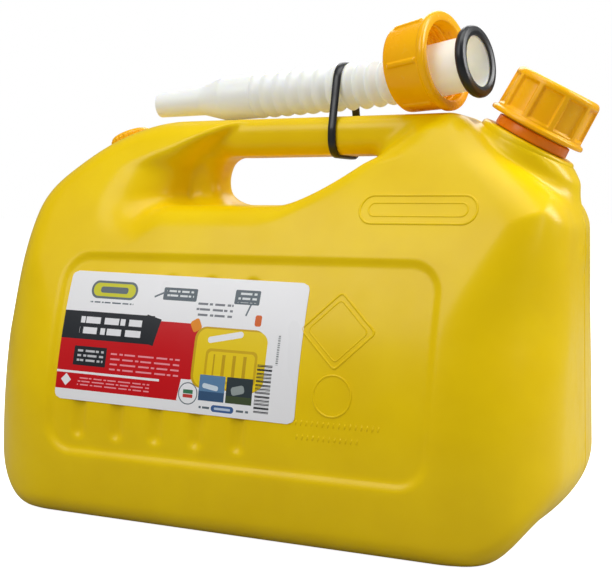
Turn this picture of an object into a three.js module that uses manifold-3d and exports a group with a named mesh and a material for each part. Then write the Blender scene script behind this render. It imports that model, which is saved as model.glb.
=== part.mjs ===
// A ten litre blow-moulded fuel can with a moulded grip, a tilted screw-cap neck, a breather cap and a
// flexible pouring spout that is stowed along the grip under an elastic band.
// Millimetres. X runs along the can towards the neck, the main panel faces -Y, and Z is up from the floor.
import * as THREE from "three";
import { LoftGeometry } from "three/addons/geometries/LoftGeometry.js";
import { mergeVertices } from "three/addons/utils/BufferGeometryUtils.js";
import Module from "manifold-3d";

const wasm = await Module();
wasm.setup();

// Can hull: drawn-in side walls, crowned ends and a sloping shoulder at each end, listed vent end first
const BASE_HALF_WIDTH = 94.5;
const WALL_RISE = 0.1017; // the side wall is BASE_HALF_WIDTH + WALL_RISE z - WALL_BEND z^2 from the mid-plane
const WALL_BEND = 0.001695;
const TOP_Z = 235.8;
const SHOULDERS = [
  { slope: 62.1, x: 130, z: 235, toEnd: 32.1, toTop: 56.5 },
  { slope: 40.5, x: 136, z: 215.5, toEnd: 8, toTop: 5 },
];
const ENDS = [
  { side: -1, reach: 181.5, lean: 0.0178, baseEdge: 70, shoulder: SHOULDERS[0] },
  { side: 1, reach: 183.1, lean: 0.03, baseEdge: 72.5, shoulder: SHOULDERS[1] },
];
const END_CROWN = 13.5 / 90 ** 2;
const CORNER = { base: 49.8, shoulder: 16.3, top: 10.3 };
const FACE_EDGE = 13.3;
const BASE_EDGE_POWER = 2.37;
const BASE_EDGE_FLATTEN = 0.6;
const END_WALL = 2.4;
const FACE_WALL = 3.9;
const BASE_WALL = 5;

// Recessed panel and its flutes, on both faces
const PANEL = { left: -113.6, right: 117.8, bottom: 41, top: 153.6, radius: 16, depth: 1.5 };
const FLUTE = { first: -92.8, pitch: 25.9, count: 5, halfWidth: 4.6, bottom: 49, top: 143, depth: 1.2 };
const FACE_CUT = { near: 20, far: 130 };

// Grip
const GRIP_FLOOR_Z = 183.6;
const BAR_BOTTOM_Z = 213.3;
const BAR_HALF_WIDTH = 20;
const BAR_EDGE = { below: 4.2, above: 7 };
const HOLE_LEFT = -51.5;
const SCOOP = { left: -62, spread: 0.73, reach: 75, leanFrom: 206, lean: 1.5 };

// Neck, cap and collar, measured along the neck axis from the collar's top face
const NECK_BASE = new THREE.Vector3(147.3, 0, 219.8);
const NECK_TILT = THREE.MathUtils.degToRad(29);
const NECK = { bore: 16.6, radius: 19.6, top: 30.5 };
const THREAD = { radius: 21.2, bottom: 10, pitch: 4, turns: 2.25 };
const COLLAR = { radius: 28.4, thickness: 6 };
const BOSS = { radius: 27.2, depth: 42, flare: [[52, -28], [47.5, -20.5], [40.5, -14], [34.5, -6.8]] };
const RING = { inner: 20, outer: 21.5, bottom: 0.4, top: 6.2 };
const CAP = { bottom: 7.1, top: 34.3, bore: 21.8, flange: 27.9, side: 25.4, crown: 24.2, roof: 1.9, ribs: 10 };

// Breather on the sloping shoulder, measured along its axis from the shoulder surface
const VENT_BASE = new THREE.Vector3(-113, 0, 224.2);
const VENT_TILT = THREE.MathUtils.degToRad(-22);
const VENT = { pocket: 17.2, pocketDepth: 5.2, neck: 8.6, bore: 5.6, neckTop: 3.2 };
const VENT_CAP = { radius: 14, bottom: -4.6, top: 6, bore: 9.2, roof: 1.5, knurls: 24 };

// Stowed spout: a straight run along the grip, a bend, then the base tube with its flange
const SPOUT_TIP = new THREE.Vector3(-91.6, 0, 247.65);
const SPOUT_BEND = new THREE.Vector3(58, 0, 254.8);
const SPOUT_YAW = THREE.MathUtils.degToRad(-13.3);
const SPOUT_RISE = THREE.MathUtils.degToRad(7.4);
const BASE_TUBE = { radius: 15, bore: 13.6, length: 45.4, flange: 18.1, flangeHalf: 0.8 };
const BEND_TO_FLANGE = 63.9;
const BELLOWS = { crest: 13.9, valley: 11, wall: 1.1, first: -19.5, pitch: 8.6, straightTo: 16 };
const NOZZLE = { tip: 7.7, root: 8.8, barrel: 13.6, wall: 1.1, straight: 32.4, cone: 49, length: 69.8 };
const GASKET = { outer: 20.1, inner: 15.3, halfThickness: 3, groove: 18.4, grooveHalf: 1.1 };

// Spout nut, hanging loose on the base tube with its open end towards the flange
const NUT_REAR = new THREE.Vector3(75.3, -4.1, 262.1);
const NUT_RISE = THREE.MathUtils.degToRad(6);
const NUT = { length: 28.1, rear: 25, face: 26.6, rim: 28, rimWidth: 4, hole: 20, bore: 22.4, floor: 2.5 };
const NUT_RIBS = 8;

// Elastic band round the grip bar and the spout
const BAND = { x: 36.4, width: 3.2, thickness: 1.3, clearance: 0.35, spoutRadius: 13.2, corner: 2.1 };

// Stick-on label
const LABEL = { x: -32.3, z: 106.2, width: 155, height: 74, radius: 4, turn: 1.1, gap: 0.35, thickness: 0.5 };

const SEGMENTS = 32;
const Y_AXIS = new THREE.Vector3(0, 1, 0);

const plastic = (color, roughness) => new THREE.MeshStandardMaterial({ color, roughness, metalness: 0 });
const YELLOW = plastic(0xe3c419, 0.42);
const ORANGE = plastic(0xf2a305, 0.38);
const RED_ORANGE = plastic(0xe0600f, 0.45);
const MILKY = plastic(0xe9e9df, 0.4);
const RUBBER = plastic(0x17191c, 0.55);
const FOAM = plastic(0xd8d8d4, 0.8);
const PAPER = plastic(0xf4f4f2, 0.5);

// A closed three.js geometry as a solid that can be joined and cut.
function solid(geometry) {
  const bare = new THREE.BufferGeometry();
  bare.setAttribute("position", geometry.getAttribute("position"));
  bare.setIndex(geometry.getIndex());
  const merged = mergeVertices(bare, 1e-4);
  const made = new wasm.Manifold(
    new wasm.Mesh({
      numProp: 3,
      vertProperties: merged.attributes.position.array,
      triVerts: Uint32Array.from(merged.index.array),
    }),
  );
  return made;
}

function meshOf(name, shape, material) {
  const { vertProperties, triVerts } = shape.getMesh();
  const geometry = new THREE.BufferGeometry();
  geometry.setAttribute("position", new THREE.BufferAttribute(vertProperties, 3));
  geometry.setIndex(new THREE.BufferAttribute(triVerts, 1));
  geometry.computeVertexNormals();
  const mesh = new THREE.Mesh(geometry, material);
  mesh.name = name;
  return mesh;
}

const join = (shapes) => shapes.reduce((sum, shape) => sum.add(shape));
const cut = (shape, tools) => tools.reduce((rest, tool) => rest.subtract(tool), shape);

// Turns a geometry built along +Y so that it stands on origin along axis.
function stand(geometry, origin, axis) {
  const turn = new THREE.Quaternion().setFromUnitVectors(Y_AXIS, axis);
  return geometry.applyQuaternion(turn).translate(origin.x, origin.y, origin.z);
}

// A solid of revolution from [radius, height] pairs, listed anticlockwise round the section.
function turned(pairs, segments = SEGMENTS) {
  const onAxis = pairs[0][0] === 0;
  const profile = pairs.map(([radius, height]) => new THREE.Vector2(radius, height));
  if (!onAxis) profile.push(profile[0].clone());
  return new THREE.LatheGeometry(profile, segments);
}

const cylinder = (radius, bottom, top, segments = SEGMENTS) =>
  turned([[0, bottom], [radius, bottom], [radius, top], [0, top]], segments);

// A flat outline in the XZ plane given thickness between two Y values.
function slab(shape, nearY, farY, curveSegments = 8) {
  const depth = farY - nearY;
  const geometry = new THREE.ExtrudeGeometry(shape, { depth, bevelEnabled: false, curveSegments });
  return geometry.rotateX(Math.PI / 2).translate(0, farY, 0);
}

// Moves an anticlockwise outline outwards by distance, or inwards when it is negative.
function grown(points, distance) {
  const count = points.length;
  return points.map((point, i) => {
    const before = points[(i + count - 1) % count];
    const after = points[(i + 1) % count];
    const incoming = point.clone().sub(before).normalize();
    const outgoing = after.clone().sub(point).normalize();
    const normal = new THREE.Vector2(incoming.y + outgoing.y, -incoming.x - outgoing.x).normalize();
    const share = Math.max(0.6, normal.dot(new THREE.Vector2(incoming.y, -incoming.x)));
    return point.clone().addScaledVector(normal, distance / share);
  });
}

// The points of a closed path without repeats.
function outline(path, divisions) {
  const points = path.getPoints(divisions);
  const kept = points.filter((point, i) => i === 0 || point.distanceTo(points[i - 1]) > 1e-3);
  if (kept[0].distanceTo(kept[kept.length - 1]) < 1e-3) kept.pop();
  return kept;
}

function roundedRectangle(left, right, bottom, top, radius) {
  const shape = new THREE.Shape();
  shape.moveTo(left + radius, bottom);
  shape.lineTo(right - radius, bottom);
  shape.absarc(right - radius, bottom + radius, radius, -Math.PI / 2, 0);
  shape.lineTo(right, top - radius);
  shape.absarc(right - radius, top - radius, radius, 0, Math.PI / 2);
  shape.lineTo(left + radius, top);
  shape.absarc(left + radius, top - radius, radius, Math.PI / 2, Math.PI);
  shape.lineTo(left, bottom + radius);
  shape.absarc(left + radius, bottom + radius, radius, Math.PI, 1.5 * Math.PI);
  return shape;
}

const wallHalfWidth = (z) => BASE_HALF_WIDTH + WALL_RISE * z - WALL_BEND * z * z;
const smooth = (value, low, high) => THREE.MathUtils.smoothstep(value, low, high);

// The overlap of two signed distances with a round edge of the given radius.
function fillet(a, b, radius) {
  return Math.min(Math.max(a, b), -radius) + Math.hypot(Math.max(a + radius, 0), Math.max(b + radius, 0));
}

// How far the hull reaches from the middle towards one end at height z, in the mid-plane.
function endReach(end, z) {
  const { slope, x: slopeX, z: slopeZ, toEnd, toTop } = end.shoulder;
  const angle = THREE.MathUtils.degToRad(slope);
  let near = 0;
  let far = end.reach + 1;
  for (let step = 0; step < 40; step++) {
    const x = (near + far) / 2;
    const wall = x - end.reach + end.lean * z;
    const shoulder = Math.sin(angle) * (x - slopeX) + Math.cos(angle) * (z - slopeZ);
    const outside = fillet(fillet(wall, shoulder, toEnd), z - TOP_Z - 0.01, toTop) > 0;
    if (outside) far = x;
    else near = x;
  }
  return near;
}

function cornerRadius(z) {
  const { base, shoulder, top } = CORNER;
  return base - (base - shoulder) * smooth(z, 110, 205) - (shoulder - top) * smooth(z, 205, 234);
}

// How far the round edge under the can draws a section in. Endwise runs from 0 on a face to 1 on an end.
function baseInset(height, endwise, baseEdge) {
  const edge = FACE_EDGE + (baseEdge - FACE_EDGE) * endwise ** BASE_EDGE_POWER;
  const fall = edge - height / (1 - (1 - BASE_EDGE_FLATTEN) * endwise);
  return fall > 0 ? edge - Math.sqrt(edge ** 2 - Math.min(fall, edge) ** 2) : 0;
}

// One horizontal section of the can, anticlockwise from the neck end.
function planSection(z, endInset, faceInset, bottom, steps) {
  const fromTop = Math.max(0, CORNER.top - (TOP_Z - z));
  const topInset = CORNER.top - Math.sqrt(CORNER.top ** 2 - Math.min(fromTop, CORNER.top) ** 2);
  const halfY = wallHalfWidth(z) - faceInset - topInset;
  const radius = Math.min(cornerRadius(z) - Math.max(endInset, 0), 0.85 * halfY);
  const level = z - bottom;
  const points = [];
  for (let quarter = 0; quarter < 4; quarter++) {
    const end = ENDS[quarter === 0 || quarter === 3 ? 1 : 0];
    const signY = quarter < 2 ? 1 : -1;
    const reach = endReach(end, Math.min(z + Math.max(endInset, 0), TOP_Z)) - endInset - topInset;
    const corner = [];
    const put = (x, y, endwise, outX, outY) => {
      const inset = baseInset(level, endwise, end.baseEdge);
      const crowned = x - END_CROWN * y * y - inset * outX;
      corner.push(new THREE.Vector3(end.side * crowned, signY * (y - inset * outY), z));
    };
    put(reach, (halfY - radius) / 3, 1, 1, 0);
    for (let step = 0; step <= steps; step++) {
      const angle = ((step / steps) * Math.PI) / 2;
      const cos = Math.cos(angle);
      const sin = Math.sin(angle);
      put(reach - radius + radius * cos, halfY - radius + radius * sin, cos, cos, sin);
    }
    points.push(...(quarter % 2 === 0 ? corner : corner.reverse()));
  }
  return points;
}

function canLoft(endInset, faceInset, bottom, top, cornerSteps, rows) {
  const shares = [0, 0.04, 0.14, 0.3, 0.5, 0.75];
  const edgeHeight = ENDS[1].baseEdge * BASE_EDGE_FLATTEN;
  const shoulderZ = 178;
  const heights = shares.map((share) => bottom + share * edgeHeight);
  for (let row = 0; row < rows; row++) {
    heights.push(bottom + edgeHeight + ((shoulderZ - bottom - edgeHeight) * row) / rows);
  }
  for (const share of [0, 0.2, 0.38, 0.54, 0.68, 0.8, 0.89, 0.95, 0.985, 1]) {
    heights.push(shoulderZ + (top - shoulderZ) * share);
  }
  const sections = heights.map((z) => planSection(z, endInset, faceInset, bottom, cornerSteps));
  return solid(new LoftGeometry(sections, { capStart: true, capEnd: true }));
}

// A block whose faces lie depth inside the can's side walls.
function wallCore(depth) {
  const reach = 200;
  const sections = Array.from({ length: 12 }, (_, row) => {
    const z = (row * TOP_Z) / 11;
    const y = wallHalfWidth(z) - depth;
    const corners = [[reach, -y], [reach, y], [-reach, y], [-reach, -y]];
    return corners.map(([cornerX, cornerY]) => new THREE.Vector3(cornerX, cornerY, z));
  });
  return solid(new LoftGeometry(sections, { capStart: true, capEnd: true }));
}

// The grip opening in side view.
function gripOpening() {
  const path = new THREE.Path();
  path.moveTo(12, GRIP_FLOOR_Z);
  path.quadraticCurveTo(30, GRIP_FLOOR_Z, 63, 208);
  path.lineTo(70, BAR_BOTTOM_Z);
  path.lineTo(HOLE_LEFT + 5, BAR_BOTTOM_Z);
  path.quadraticCurveTo(HOLE_LEFT - 5, (GRIP_FLOOR_Z + BAR_BOTTOM_Z) / 2, HOLE_LEFT + 5, GRIP_FLOOR_Z);
  return outline(path, 6);
}

// The finger scoop in side view, moved out by shift on its closed side.
function scoopMouth(shift) {
  const { left, leanFrom, lean } = SCOOP;
  const over = TOP_Z + 30;
  const path = new THREE.Path();
  path.moveTo(12, GRIP_FLOOR_Z);
  path.quadraticCurveTo(30, GRIP_FLOOR_Z, 63, 208);
  path.lineTo(116, 247);
  path.lineTo(136, over);
  path.lineTo(left - shift + lean * (over - leanFrom), over);
  path.lineTo(left - shift + lean * 6, leanFrom + 6);
  path.quadraticCurveTo(left - shift, leanFrom, left - shift, leanFrom - 8);
  path.lineTo(left - shift, GRIP_FLOOR_Z + 9);
  path.quadraticCurveTo(left - shift, GRIP_FLOOR_Z, left - shift + 9, GRIP_FLOOR_Z);
  return outline(path, 6);
}

function scoop(side, spread, depth) {
  const at = (points, distance) =>
    grown(points, spread).map((point) => new THREE.Vector3(point.x, side * distance, point.y));
  const inner = at(scoopMouth(0), depth);
  const outer = at(scoopMouth(SCOOP.spread * (SCOOP.reach - BAR_HALF_WIDTH)), SCOOP.reach);
  const sections = side < 0 ? [inner, outer] : [outer, inner];
  return solid(new LoftGeometry(sections, { capStart: true, capEnd: true }));
}

// Takes the sharp edges off the grip bar.
function barEdges() {
  return [-1, 1].flatMap((side) => {
    const below = new THREE.BoxGeometry(88, BAR_EDGE.below, BAR_EDGE.below).rotateX(Math.PI / 4);
    const above = new THREE.BoxGeometry(140, BAR_EDGE.above, BAR_EDGE.above).rotateX(Math.PI / 4);
    return [
      solid(below.translate(12, side * BAR_HALF_WIDTH, BAR_BOTTOM_Z)),
      solid(above.translate(30, side * BAR_HALF_WIDTH, TOP_Z)),
    ];
  });
}

// Everything that the hand opening removes, grown by spread for the inner skin.
function gripTools(spread) {
  const hole = new THREE.Shape(grown(gripOpening(), spread));
  const depth = BAR_HALF_WIDTH - spread;
  return [solid(slab(hole, -SCOOP.reach, SCOOP.reach)), scoop(-1, spread, depth), scoop(1, spread, depth)];
}

// The skin between the wall and a surface that lies depth inside it, over the panel or the flutes.
function recess(shapes, depth) {
  const { near, far } = FACE_CUT;
  const plates = shapes.flatMap((shape) => [
    solid(slab(shape, -far, -near, 5)),
    solid(slab(shape, near, far, 5)),
  ]);
  return join(plates).subtract(wallCore(depth));
}

function panelShape(spread) {
  const { left, right, bottom, top, radius } = PANEL;
  return roundedRectangle(left - spread, right + spread, bottom - spread, top + spread, radius);
}

function fluteShapes() {
  const { first, pitch, count, halfWidth, bottom, top } = FLUTE;
  return Array.from({ length: count }, (_, i) => {
    const x = first + i * pitch;
    return roundedRectangle(x - halfWidth, x + halfWidth, bottom, top, halfWidth * 0.98);
  });
}

// A helical thread ridge of triangular section round the Y axis.
function thread(rootRadius, crestRadius, bottom, pitch, turns) {
  class Helix extends THREE.Curve {
    getPoint(t, target = new THREE.Vector3()) {
      const angle = t * turns * 2 * Math.PI;
      const height = bottom + t * turns * pitch;
      return target.set(rootRadius * Math.cos(angle), height, -rootRadius * Math.sin(angle));
    }
  }
  const helix = new Helix();
  const height = crestRadius - rootRadius;
  const steps = Math.round(12 * turns);
  const sections = [];
  for (let step = 0; step <= steps; step++) {
    const t = step / steps;
    const taper = Math.min(1, 6 * t, 6 * (1 - t));
    const centre = helix.getPoint(t);
    const outward = new THREE.Vector3(centre.x, 0, centre.z).normalize();
    const corner = (reach, lift) => centre.clone().addScaledVector(outward, reach).setY(centre.y + lift);
    const sink = -0.5 * Math.sign(height);
    const rise = height * (0.15 + 0.85 * taper);
    sections.push([corner(sink, -0.9), corner(rise, -0.25), corner(rise, 0.25), corner(sink, 0.9)]);
  }
  const inwards = height < 0;
  const ordered = inwards ? sections : sections.map((section) => section.reverse());
  return new LoftGeometry(ordered, { capStart: true, capEnd: true });
}

const neckAxis = new THREE.Vector3(Math.sin(NECK_TILT), 0, Math.cos(NECK_TILT));
const ventAxis = new THREE.Vector3(Math.sin(VENT_TILT), 0, Math.cos(VENT_TILT));
const spoutAxis = SPOUT_BEND.clone().sub(SPOUT_TIP).normalize();
const baseAxis = new THREE.Vector3(
  Math.cos(SPOUT_RISE) * Math.cos(SPOUT_YAW),
  Math.cos(SPOUT_RISE) * Math.sin(SPOUT_YAW),
  Math.sin(SPOUT_RISE),
);
const nutAxis = new THREE.Vector3(
  Math.cos(NUT_RISE) * Math.cos(SPOUT_YAW),
  Math.cos(NUT_RISE) * Math.sin(SPOUT_YAW),
  Math.sin(NUT_RISE),
);
const flangeCentre = SPOUT_BEND.clone().addScaledVector(baseAxis, BEND_TO_FLANGE);
const onNeck = (geometry) => stand(geometry, NECK_BASE, neckAxis);
const onVent = (geometry) => stand(geometry, VENT_BASE, ventAxis);

function canBody() {
  const flutes = fluteShapes();
  const outerSkin = cut(canLoft(0, 0, 0, TOP_Z, 6, 7), [
    recess([panelShape(0)], PANEL.depth),
    recess(flutes, PANEL.depth + FLUTE.depth),
    ...gripTools(0),
    ...barEdges(),
    solid(onVent(cylinder(VENT.pocket, -VENT.pocketDepth, 30, 28))),
  ]);
  const cavity = cut(canLoft(END_WALL, FACE_WALL, BASE_WALL, TOP_Z - END_WALL, 4, 5), [
    ...gripTools(END_WALL),
    solid(onVent(cylinder(VENT.pocket + END_WALL, -VENT.pocketDepth - END_WALL, 30, 20))),
  ]);
  const boss = onNeck(
    turned([
      [0, -BOSS.depth],
      [BOSS.radius, -BOSS.depth],
      [BOSS.radius, -COLLAR.thickness],
      [COLLAR.radius, -COLLAR.thickness],
      [COLLAR.radius, -1],
      [COLLAR.radius - 1, 0],
      [NECK.radius, 0],
      [NECK.radius, NECK.top],
      [0, NECK.top],
    ]),
  );
  const flare = onNeck(
    turned([
      [0, -BOSS.depth],
      [BOSS.flare[0][0], -BOSS.depth],
      ...BOSS.flare,
      [BOSS.radius, -COLLAR.thickness + 1],
      [0, -COLLAR.thickness + 1],
    ]),
  );
  const shoulder = solid(flare).intersect(wallCore(0.5));
  const bossHollow = onNeck(
    turned([[0, -60], [BOSS.radius - END_WALL, -60], [BOSS.radius - END_WALL, -9], [0, -3]], 28),
  );
  const ventNeck = onVent(cylinder(VENT.neck, -VENT.pocketDepth - 1, VENT.neckTop, 24));
  const neckThread = onNeck(thread(NECK.radius, THREAD.radius, THREAD.bottom, THREAD.pitch, THREAD.turns));
  return cut(join([outerSkin, shoulder, solid(boss), solid(ventNeck), solid(neckThread)]), [
    cavity,
    solid(bossHollow),
    solid(onNeck(cylinder(NECK.bore, -30, NECK.top + 5, 28))),
    solid(onVent(cylinder(VENT.bore, -30, VENT.neckTop + 5, 20))),
  ]);
}

// Wedge-shaped prisms set in a ring round the Y axis, for pockets and ribs.
function ringOfBoxes(count, radius, width, depth, bottom, top, phase = 0) {
  return Array.from({ length: count }, (_, i) => {
    const box = new THREE.BoxGeometry(depth, top - bottom, width);
    box.translate(radius, (bottom + top) / 2, 0);
    return box.rotateY(phase + (i * 2 * Math.PI) / count);
  });
}

function cap() {
  const { bottom, top, bore, flange, side, crown, roof, ribs } = CAP;
  const shell = turned([
    [0, top - roof],
    [bore, top - roof],
    [bore, bottom],
    [flange, bottom],
    [flange, bottom + 2.2],
    [side, bottom + 3.8],
    [crown, top - 2.4],
    [crown - 0.8, top - 0.8],
    [crown - 2.4, top],
    [0, top],
  ]);
  const pocketTop = top - 4.5;
  const pockets = ringOfBoxes(ribs, side + 1.2, 12.4, 5, bottom + 5.4, pocketTop, Math.PI / ribs);
  return cut(solid(onNeck(shell)), pockets.map((pocket) => solid(onNeck(pocket))));
}

function neckRing() {
  const { inner, outer, bottom, top } = RING;
  return solid(onNeck(turned([[inner, bottom], [outer, bottom], [outer, top], [inner, top]], 32)));
}

function capSeal() {
  const bottom = NECK.top + 0.3;
  const top = CAP.top - CAP.roof - 0.3;
  return solid(onNeck(cylinder(CAP.bore - 1.2, bottom, top, 32)));
}

function ventCap() {
  const { radius, bottom, top, bore, roof, knurls } = VENT_CAP;
  const shell = turned([
    [0, top - roof],
    [bore, top - roof],
    [bore, bottom],
    [radius - 0.6, bottom],
    [radius - 0.6, top - 1.2],
    [radius - 2, top],
    [0, top],
  ]);
  const ridges = ringOfBoxes(knurls, radius - 0.9, 1.3, 1.6, bottom + 0.8, top - 1.6);
  return join([solid(onVent(shell)), ...ridges.map((ridge) => solid(onVent(ridge)))]);
}

function ventSeal() {
  return solid(onVent(cylinder(VENT.neck, VENT.neckTop + 0.3, VENT_CAP.top - VENT_CAP.roof - 0.3, 24)));
}

function spoutBase() {
  const { radius, bore, length, flange, flangeHalf } = BASE_TUBE;
  const tube = turned([
    [bore, -length],
    [radius, -length],
    [radius, -flangeHalf],
    [flange, -flangeHalf],
    [flange, flangeHalf],
    [bore, flangeHalf],
  ], 32);
  return solid(stand(tube, flangeCentre, baseAxis));
}

function spoutGasket() {
  const { outer, inner, halfThickness, groove, grooveHalf } = GASKET;
  const middle = (inner + outer) / 2;
  const ring = turned([
    [inner, -halfThickness + 1],
    [middle, -halfThickness],
    [outer - 0.8, -halfThickness + 0.9],
    [outer, 0],
    [outer - 0.8, halfThickness - 0.9],
    [middle, halfThickness],
    [inner, halfThickness - 1],
    [inner, grooveHalf],
    [groove, grooveHalf],
    [groove, -grooveHalf],
    [inner, -grooveHalf],
  ]);
  return solid(stand(ring, flangeCentre, baseAxis));
}

function circleSection(centre, direction, radius, segments) {
  const across = new THREE.Vector3().crossVectors(direction, Y_AXIS).normalize();
  const along = new THREE.Vector3().crossVectors(direction, across);
  return Array.from({ length: segments }, (_, i) => {
    const angle = (i * 2 * Math.PI) / segments;
    return centre
      .clone()
      .addScaledVector(across, radius * Math.cos(angle))
      .addScaledVector(along, radius * Math.sin(angle));
  });
}

// The corrugated hose: straight along the grip, then bending towards the base tube.
function spoutBellows() {
  const { crest, valley, wall, first, pitch, straightTo } = BELLOWS;
  const start = SPOUT_TIP.clone().addScaledVector(spoutAxis, NOZZLE.length + 0.3);
  const bendStart = SPOUT_BEND.clone().addScaledVector(spoutAxis, -straightTo);
  const end = flangeCentre.clone().addScaledVector(baseAxis, -BASE_TUBE.length - 0.3);
  const path = new THREE.CurvePath();
  path.add(new THREE.LineCurve3(start, bendStart));
  path.add(new THREE.QuadraticBezierCurve3(bendStart, SPOUT_BEND, end));
  const length = path.getLength();
  const rows = 4 * Math.round(length / pitch);
  const offset = first - start.x;
  const outer = [];
  const inner = [];
  for (let row = 0; row <= rows; row++) {
    const t = row / rows;
    const wave = 0.5 + 0.5 * Math.cos((2 * Math.PI * (t * length - offset)) / pitch);
    const radius = valley + (crest - valley) * Math.sqrt(wave);
    const centre = path.getPointAt(t);
    const direction = path.getTangentAt(t);
    outer.push(circleSection(centre, direction, radius, 16));
    if (row % 4 === 0) inner.push(circleSection(centre, direction, valley - wall, 16));
  }
  const sections = [...outer, ...inner.reverse(), outer[0]];
  return solid(new LoftGeometry(sections));
}

function spoutNozzle() {
  const { tip, root, barrel, wall, straight, cone, length } = NOZZLE;
  const shell = turned([
    [tip - wall, 0.6],
    [tip - 0.5, 0],
    [tip, 0.8],
    [root, straight],
    [barrel, cone],
    [barrel, length],
    [barrel - wall, length],
    [barrel - wall, cone],
    [root - wall, straight],
  ], 32);
  return solid(stand(shell, SPOUT_TIP, spoutAxis));
}

function spoutNut() {
  const { length, rear, face, rim, rimWidth, hole, bore, floor } = NUT;
  const shell = turned([
    [hole, 0],
    [rear - 1.5, 0],
    [rear, 1.5],
    [face, length - rimWidth],
    [rim, length - rimWidth + 0.6],
    [rim, length - 0.8],
    [rim - 0.8, length],
    [bore, length],
    [bore, floor],
    [hole, floor],
  ]);
  const bars = ringOfBoxes(NUT_RIBS, rear + 0.3, 2.6, 1.6, 3, length - rimWidth + 1, 0.2);
  const inside = thread(bore, bore - 1.2, floor + 6, THREAD.pitch, THREAD.turns);
  const place = (geometry) => solid(stand(geometry, NUT_REAR, nutAxis));
  return join([shell, ...bars, inside].map(place));
}

// A loop pulled tight round the bar below and the spout above.
function bandOutline(spread) {
  const spoutZ = SPOUT_TIP.z + ((BAND.x - SPOUT_TIP.x) * spoutAxis.z) / spoutAxis.x;
  const radius = BAND.spoutRadius + spread;
  const halfWidth = BAR_HALF_WIDTH + BAND.clearance + spread;
  const bottom = BAR_BOTTOM_Z - BAND.clearance - spread;
  const { corner } = BAND;
  const shoulder = new THREE.Vector2(halfWidth, TOP_Z - 0.65 * BAR_EDGE.above);
  const toShoulder = shoulder.clone().sub(new THREE.Vector2(0, spoutZ));
  const tangent = toShoulder.angle() + Math.acos(radius / toShoulder.length());
  const shape = new THREE.Path();
  shape.moveTo(-halfWidth + corner, bottom);
  shape.lineTo(halfWidth - corner, bottom);
  shape.lineTo(halfWidth, bottom + corner);
  shape.lineTo(shoulder.x, shoulder.y);
  shape.absarc(0, spoutZ, radius, tangent - 2 * Math.PI, Math.PI - (tangent - 2 * Math.PI), false);
  shape.lineTo(-shoulder.x, shoulder.y);
  shape.lineTo(-halfWidth, bottom + corner);
  return outline(shape, 14);
}

function retainingBand() {
  const outer = new THREE.Shape(bandOutline(BAND.thickness));
  outer.holes.push(new THREE.Path(bandOutline(0).reverse()));
  const loop = new THREE.ExtrudeGeometry(outer, { depth: BAND.width, bevelEnabled: false });
  loop.translate(0, 0, -BAND.width / 2).rotateX(Math.PI / 2).rotateZ(Math.PI / 2);
  return solid(loop.translate(BAND.x, 0, 0));
}

function frontLabel() {
  const { x, z, width, height, radius, turn, gap, thickness } = LABEL;
  const shape = roundedRectangle(-width / 2, width / 2, -height / 2, height / 2, radius);
  const plate = slab(shape, -FACE_CUT.far, -FACE_CUT.near, 3)
    .rotateY(THREE.MathUtils.degToRad(turn))
    .translate(x, 0, z);
  const front = wallCore(PANEL.depth - gap - thickness);
  const back = wallCore(PANEL.depth - gap);
  return solid(plate).intersect(front).subtract(back);
}

const can = new THREE.Group();
can.add(meshOf("can_body", canBody(), YELLOW));
can.add(meshOf("front_label", frontLabel(), PAPER));
can.add(meshOf("neck_ring", neckRing(), RED_ORANGE));
can.add(meshOf("cap", cap(), ORANGE));
can.add(meshOf("cap_seal", capSeal(), FOAM));
can.add(meshOf("vent_cap", ventCap(), ORANGE));
can.add(meshOf("vent_seal", ventSeal(), FOAM));

const spout = new THREE.Group();
spout.add(meshOf("spout_base", spoutBase(), MILKY));
spout.add(meshOf("spout_gasket", spoutGasket(), RUBBER));
spout.add(meshOf("spout_bellows", spoutBellows(), MILKY));
spout.add(meshOf("spout_nozzle", spoutNozzle(), MILKY));
spout.add(meshOf("spout_nut", spoutNut(), ORANGE));
spout.add(meshOf("retaining_band", retainingBand(), RUBBER));
can.add(spout);

export default can;
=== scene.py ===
"""A ten litre jerry can with a stowed pouring spout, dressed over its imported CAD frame.

Lengths are millimetres in the part's own frame; add_mesh turns them into metres.
"""
import math

import bmesh
import bpy
import numpy as np
from mathutils import Matrix, Vector


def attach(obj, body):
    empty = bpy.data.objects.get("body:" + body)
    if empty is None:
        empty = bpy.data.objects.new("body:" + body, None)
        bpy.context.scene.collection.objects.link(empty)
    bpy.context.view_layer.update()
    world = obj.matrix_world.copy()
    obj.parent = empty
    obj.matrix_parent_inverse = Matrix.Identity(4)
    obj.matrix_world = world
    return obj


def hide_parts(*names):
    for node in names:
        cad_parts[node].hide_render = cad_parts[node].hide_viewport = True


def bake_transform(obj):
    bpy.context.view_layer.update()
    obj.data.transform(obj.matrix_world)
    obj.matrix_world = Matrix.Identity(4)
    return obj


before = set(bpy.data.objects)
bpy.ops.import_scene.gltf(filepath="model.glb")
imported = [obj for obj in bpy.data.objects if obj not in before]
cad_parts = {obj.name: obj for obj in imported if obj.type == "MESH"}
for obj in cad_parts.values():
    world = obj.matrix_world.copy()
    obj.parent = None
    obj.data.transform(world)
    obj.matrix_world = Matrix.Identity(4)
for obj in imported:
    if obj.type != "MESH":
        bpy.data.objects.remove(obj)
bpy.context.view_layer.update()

# Can hull: crowned ends, bowed walls and two sloping shoulders. Side -1 is the breather end, 1 the neck end.
TOP_Z = 235.8
WALL_FOOT = 94.5
WALL_SLOPE = 0.1017
WALL_BOW = 0.001695
END = {-1: 181.5, 1: 183.1}
END_LEAN = {-1: 0.0178, 1: 0.03}
END_CROWN = 13.5 / 90 ** 2
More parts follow.
